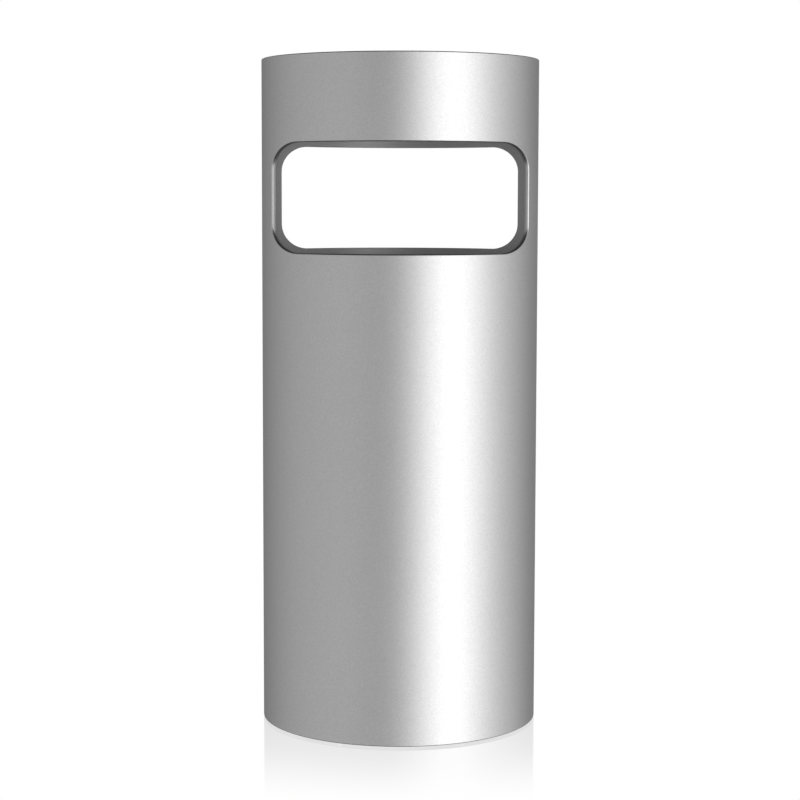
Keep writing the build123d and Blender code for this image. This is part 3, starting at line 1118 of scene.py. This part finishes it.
def make_feet(finish, ring):
    """Four push-in rubber feet, each with a tread of two grooves, a stem and a barb."""
    soft = 0.2 * MM
    tread = []
    for start, low_start, low_end, end in FOOT_GROOVES:
        tread += [
            (start * MM, 0.0, soft),
            (low_start * MM, FOOT_GROOVE_DEPTH, soft),
            (low_end * MM, FOOT_GROOVE_DEPTH, soft),
            (end * MM, 0.0, soft),
        ]
    profile = rounded([(0.0, 0.0, 0)] + tread + [
        (FOOT_RADIUS, 0.0, 1.0 * MM),
        (FOOT_RADIUS, LEDGE_BOTTOM, 0.4 * MM),
        (FOOT_STEM, LEDGE_BOTTOM, 0),
        (FOOT_STEM, LEDGE_TOP, 0),
        (FOOT_BARB, LEDGE_TOP, 0.4 * MM),
        (FOOT_BARB_TIP, LEDGE_TOP + FOOT_BARB_HEIGHT, 0.6 * MM),
        (0.0, LEDGE_TOP + FOOT_BARB_HEIGHT, 0),
    ], 4)
    foot = lathe("foot", profile, 72)
    foot.data.transform(Matrix.Translation((FIXING_RADIUS, 0.0, 0.0)))
    feet = grow(foot, ring, count=FOOT_COUNT, first_angle=FOOT_FIRST_ANGLE, material=finish)
    feet.name = "rubber_feet"
    return dress(smoothed(outward(feet)), finish)


# ======================================================================
# The drip tray and the mat
# ======================================================================

def make_tray(finish, ring):
    """A shallow round tray with a turned-out lip, ribs that hold the mat clear of the water, and two tabs."""
    dish = lathe("dish", rounded([
        (0.0, TRAY_BOTTOM, 0),
        (TRAY_BASE_RADIUS, TRAY_BOTTOM, 1.6 * MM),
        (TRAY_TOP_RADIUS, TRAY_TOP - TRAY_WALL, 0.8 * MM),
        (TRAY_LIP_RADIUS, TRAY_TOP - TRAY_WALL, 0.9 * MM),
        (TRAY_LIP_RADIUS, TRAY_TOP, 0.9 * MM),
        (TRAY_TOP_RADIUS - TRAY_WALL, TRAY_TOP, 1.0 * MM),
        (TRAY_BASE_RADIUS - TRAY_WALL, TRAY_FLOOR_TOP, 2.0 * MM),
        (0.0, TRAY_FLOOR_TOP, 0),
    ], 5), 192)
    rib_top = TRAY_FLOOR_TOP + TRAY_RIB_HEIGHT
    root = TRAY_FLOOR_TOP - ROOT_DEPTH
    hub = lathe("hub", rounded([
        (TRAY_HUB - TRAY_RIB_WIDTH, root, 0),
        (TRAY_HUB, root, 0),
        (TRAY_HUB, rib_top, 0.4 * MM),
        (TRAY_HUB - TRAY_RIB_WIDTH, rib_top, 0.4 * MM),
        (TRAY_HUB - TRAY_RIB_WIDTH, root, 0),
    ], 3)[:-1], 64, closed=True)
    start = TRAY_HUB - TRAY_RIB_WIDTH / 2
    length = TRAY_BASE_RADIUS - TRAY_WALL + ROOT_DEPTH - start
    rib = block(
        "tray_rib",
        (length, TRAY_RIB_WIDTH, rib_top - root),
        (start + length / 2, 0.0, (rib_top + root) / 2),
        0.4 * MM,
    )
    ribs = grow(rib, ring, count=TRAY_RIBS, first_angle=0.0, material=finish)
    slot_top = TAB_TOP - TAB_SLOT_MARGIN
    slot_radius = TAB_SLOT_HEIGHT / 2 - 0.1 * MM
    outlines = [
        rounded_rectangle(TAB_WIDTH, rib_top, TAB_TOP, 1.0 * MM, TAB_CORNER),
        rounded_rectangle(TAB_SLOT_WIDTH, slot_top - TAB_SLOT_HEIGHT, slot_top, slot_radius, slot_radius),
    ]
    upright = Matrix.Translation((TAB_FACE + TAB_THICKNESS / 2, 0.0, 0.0)) @ Matrix(
        ((0, 0, 1, 0), (1, 0, 0, 0), (0, 1, 0, 0), (0, 0, 0, 1))
    )
    tab = plate("tab", outlines, TAB_THICKNESS, 0.8 * MM, upright)
    tabs = grow(tab, ring, count=2, first_angle=0.0, material=finish)
    tray = outward(joined("tray_moulding", [dish, hub, ribs, tabs]))
    return dress(smoothed(tray), finish)


def make_mat(finish):
    """A perforated rubber mat with half-round ribs between its rings of holes."""
    seed = piece_from("mat_seed", [], [])
    grow(
        seed, mat_tree(), mat_radius=MAT_RADIUS, thickness=MAT_THICKNESS, rings=MAT_RINGS,
        ring_pitch=MAT_PITCH, hole_radius=MAT_HOLE_RADIUS, material=finish,
    )
    seed.data.transform(Matrix.Translation((0.0, 0.0, MAT_BOTTOM)))
    bevelled(outward(seed), 0.5 * MM, 2, 60.0)
    top = MAT_BOTTOM + MAT_THICKNESS
    shells = [seed]
    for number in range(1, MAT_RINGS + 1):
        middle = (number + 0.5) * MAT_PITCH
        half = MAT_RIB_WIDTH / 2
        profile = [(middle - half, top - ROOT_DEPTH)]
        for k in range(9):
            turn = math.pi * k / 8
            profile.append((middle - half * math.cos(turn), top + MAT_RIB_HEIGHT * math.sin(turn)))
        profile.append((middle + half, top - ROOT_DEPTH))
        shells.append(lathe("rib", profile, 128, closed=True))
    mat = outward(joined("tip_mat_rubber", shells))
    return dress(smoothed(mat, 40.0), finish)


# ======================================================================
# Room, light and camera
# ======================================================================

WHITE = (1.0, 1.0, 1.0, 1.0)

# The room's floor: how far it reaches, and its faint mirror, which fades out between two distances from the
# tube's axis.
FLOOR_REACH = 14.0
MIRROR_START = TUBE_RADIUS - 10.0 * MM
MIRROR_END = TUBE_RADIUS + 190.0 * MM
MIRROR_ROUGHNESS = 0.07
MIRROR_IOR = 1.55

CAMERA_PLACE = (-8.0 * MM, -1.9326, 484.4 * MM)
CAMERA_PITCH = 0.09652
CAMERA_YAW = 0.00436
CAMERA_ROLL = 0.0023
CAMERA_LENS = 93.9

# The studio, as the tube mirrors it: its dim level, tall soft banks of light as (bearing, strength, focus),
# and how much of that light is left straight above and straight below. Heights are sines of the angle above
# level, and each pair is where a change starts and ends.
ROOM_LEVEL = 0.20
SOFT_BANKS = (
    (-70, 0.31, 1.25),
    (-35, 0.09, 10.0),
    (39.5, 1.38, 6.6),
    (80, 0.50, 3.0),
)
CEILING_SHARE = 0.02
CEILING_FADE = (0.25, 0.65)
GROUND_SHARE = 0.25
GROUND_FADE = (-0.90, -0.45)

# The white wall behind the stand: how nearly straight behind it reaches to the sides, and the heights of its
# foot and top.
WALL_SIDES = (0.955, 0.970)
WALL_FOOT = (0.15, 0.18)
WALL_TOP = (0.36, 0.50)

# A lamp straight above, which reaches the tray and the mat at the bottom of the tube. It is far enough up to
# light them nearly as much when they are lifted out.
LAMP_HEIGHT = 6.0
LAMP_WIDTH = 1.9
LAMP_POWER = 320.0


def make_camera():
    data = bpy.data.cameras.new("camera")
    data.lens = CAMERA_LENS
    data.sensor_width = 36.0
    data.clip_start = 0.05
    data.clip_end = 60.0
    camera = placed("camera", data)
    camera.matrix_world = (
        Matrix.Translation(CAMERA_PLACE)
        @ Matrix.Rotation(-CAMERA_YAW, 4, "Z")
        @ Matrix.Rotation(math.pi / 2 - CAMERA_PITCH, 4, "X")
        @ Matrix.Rotation(CAMERA_ROLL, 4, "Z")
    )
    bpy.context.scene.camera = camera


def make_floor_of_room():
    """A plain white floor that mirrors faintly round the foot of the stand. It lights nothing, so the stand
    is lit evenly to its foot, and it can't be seen from below."""
    corners = [(x * FLOOR_REACH, y * FLOOR_REACH, 0.0) for x, y in ((-1, -1), (1, -1), (1, 1), (-1, 1))]
    room_floor = piece_from("studio_floor", corners, [(0, 1, 2, 3)])
    material = bpy.data.materials.new("studio_floor")
    material.use_nodes = True
    material.node_tree.nodes.clear()
    writer = Tree(material.node_tree)
    white = writer.fed("ShaderNodeEmission", {"Strength": 1.0})
    gloss = writer.fed("ShaderNodeBsdfGlossy", {"Color": WHITE, "Roughness": MIRROR_ROUGHNESS})
    fresnel = writer.fed("ShaderNodeFresnel", {"IOR": MIRROR_IOR})
    distance = writer.vector("LENGTH", writer.place())
    near = writer.spread(distance, MIRROR_START, MIRROR_END, 1.0, 0.0)
    surface = writer.mixed(writer.times(fresnel.outputs[0], near), white.outputs[0], gloss.outputs[0])
    below = writer.node("ShaderNodeNewGeometry").outputs["Backfacing"]
    one_way = writer.mixed(below, surface, writer.node("ShaderNodeBsdfTransparent").outputs[0])
    writer.fed("ShaderNodeOutputMaterial", {"Surface": one_way})
    dress(room_floor, material)
    room_floor.visible_diffuse = False
    room_floor.visible_glossy = False
    room_floor.visible_shadow = False


def bearing(degrees):
    """The level direction at an angle from straight in front of the stand, to the right."""
    turn = math.radians(degrees)
    return Vector((math.sin(turn), -math.cos(turn), 0.0))


def make_world():
    """The camera sees white. Reflections see a dim room with tall soft banks of light round the front of the
    stand, a dark ceiling and a dark ground, and a white wall high up behind."""
    world = bpy.data.worlds.new("studio")
    bpy.context.scene.world = world
    world.use_nodes = True
    world.node_tree.nodes.clear()
    writer = Tree(world.node_tree)
    direction = writer.node("ShaderNodeTexCoord").outputs["Generated"]
    up = writer.split(direction)[2]
    level = writer.math("SQRT", writer.math("SUBTRACT", 1.001, writer.times(up, up)))

    def facing(degrees):
        return writer.math("DIVIDE", writer.vector("DOT_PRODUCT", direction, bearing(degrees)), level)

    room = ROOM_LEVEL
    for degrees, strength, focus in SOFT_BANKS:
        bank = writer.math("POWER", writer.math("MAXIMUM", facing(degrees), 0.0), focus)
        room = writer.math("MULTIPLY_ADD", bank, strength, room)
    room = writer.times(room, writer.spread(up, *CEILING_FADE, 1.0, CEILING_SHARE))
    room = writer.times(room, writer.spread(up, *GROUND_FADE, GROUND_SHARE, 1.0))
    wall = writer.spread(facing(180), *WALL_SIDES, 0.0, 1.0)
    wall = writer.times(wall, writer.spread(up, *WALL_FOOT, 0.0, 1.0))
    wall = writer.times(wall, writer.spread(up, *WALL_TOP, 1.0, 0.0))
    mirrored, seen = [
        writer.fed("ShaderNodeBackground", {"Color": WHITE, "Strength": strength}).outputs[0]
        for strength in (writer.math("MAXIMUM", room, wall), 1.0)
    ]
    by_camera = writer.node("ShaderNodeLightPath").outputs["Is Camera Ray"]
    writer.fed("ShaderNodeOutputWorld", {"Surface": writer.mixed(by_camera, mirrored, seen)})


def make_lamp():
    """A lamp above the open top. It isn't mirrored, so that the lacquer shows only the room."""
    data = bpy.data.lights.new("lamp_above", "AREA")
    data.shape = "DISK"
    data.size = LAMP_WIDTH
    data.energy = LAMP_POWER
    lamp = placed("lamp_above", data)
    lamp.location = (0.0, 0.0, LAMP_HEIGHT)
    lamp.visible_camera = False
    lamp.visible_glossy = False


# ======================================================================
# The stand
# ======================================================================

bpy.context.scene.view_settings.view_transform = "Standard"

finishes = make_finishes()
ring = ring_tree()

tube = make_tube(finishes["shell_lacquer"])
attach(tube, "stand")
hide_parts("body_shell")

floor_moulding = make_floor(finishes["floor_plastic"], ring)
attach(floor_moulding, "stand")
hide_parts("base_floor")

screws = make_screws(finishes["screw_steel"], ring)
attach(screws, "stand")
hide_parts("base_screws")

feet = make_feet(finishes["foot_rubber"], ring)
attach(feet, "stand")
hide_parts("foot_1", "foot_2", "foot_3", "foot_4")

tray = make_tray(finishes["tray_plastic"], ring)
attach(tray, "drip_tray")
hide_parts("drip_tray")

mat = make_mat(finishes["mat_rubber"])
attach(mat, "tip_mat")
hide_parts("tip_mat")

make_floor_of_room()
make_world()
make_lamp()
make_camera()
